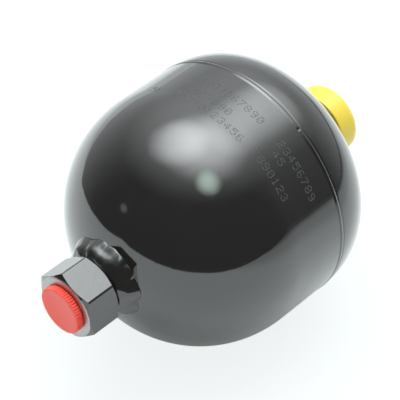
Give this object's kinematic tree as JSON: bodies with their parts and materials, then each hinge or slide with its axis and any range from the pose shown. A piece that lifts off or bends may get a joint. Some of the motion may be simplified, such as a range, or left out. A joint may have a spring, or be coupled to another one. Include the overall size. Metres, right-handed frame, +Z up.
{
  "type": "bladder accumulator",
  "caption": "Small welded steel hydraulic accumulator lying on its belly, black gloss body with a black hexagon port, a red port plug and a yellow cap over the gas connection.",
  "frame": {"origin": "centre of the fluid port's mouth, on the vessel's axis", "axes": "+X along the vessel's axis from the fluid port to the gas connection, +Z up, with the vessel lying on the straight band of its fluid shell"},
  "size_m": [0.1764, 0.1216, 0.1216],
  "materials": {
    "black_paint": "gloss",
    "plated_steel": "satin",
    "plain_steel": "satin",
    "red_plastic": "semi-gloss",
    "yellow_plastic": "satin",
    "button_plastic": "matte",
    "rubber": "matte"
  },
  "bodies": {
    "vessel": {"fluid_shell": "black_paint", "gas_shell": "black_paint", "girth_weld": "black_paint", "fluid_port": "black_paint", "port_weld": "black_paint", "gas_boss": "plated_steel", "gas_boss_weld": "black_paint", "charging_screw_seal": "rubber", "bladder": "rubber", "retaining_ring": "plain_steel"},
    "separator": {"closing_button": "button_plastic"},
    "gas_screw": {"charging_screw": "plain_steel"},
    "plug": {"port_plug": "red_plastic"},
    "cap": {"valve_cap": "yellow_plastic"}
  },
  "joints": [
    {"name": "separator_stroke", "type": "slide", "parent": "vessel", "child": "separator", "axis": [1, 0, 0], "range_m": [0, 0.095], "stiffness_N_per_m": 20, "deforming": ["bladder"]},
    {"name": "charging_screw_turn", "type": "hinge", "parent": "vessel", "child": "gas_screw", "pos_m": [0.1636, 0, 0], "axis": [1, 0, 0], "range_deg": [0, 720]},
    {"name": "plug_off", "type": "slide", "parent": "vessel", "child": "plug", "axis": [-1, 0, 0], "range_m": [0, 0.04]},
    {"name": "cap_off", "type": "slide", "parent": "vessel", "child": "cap", "axis": [1, 0, 0], "range_m": [0, 0.04]}
  ]
}
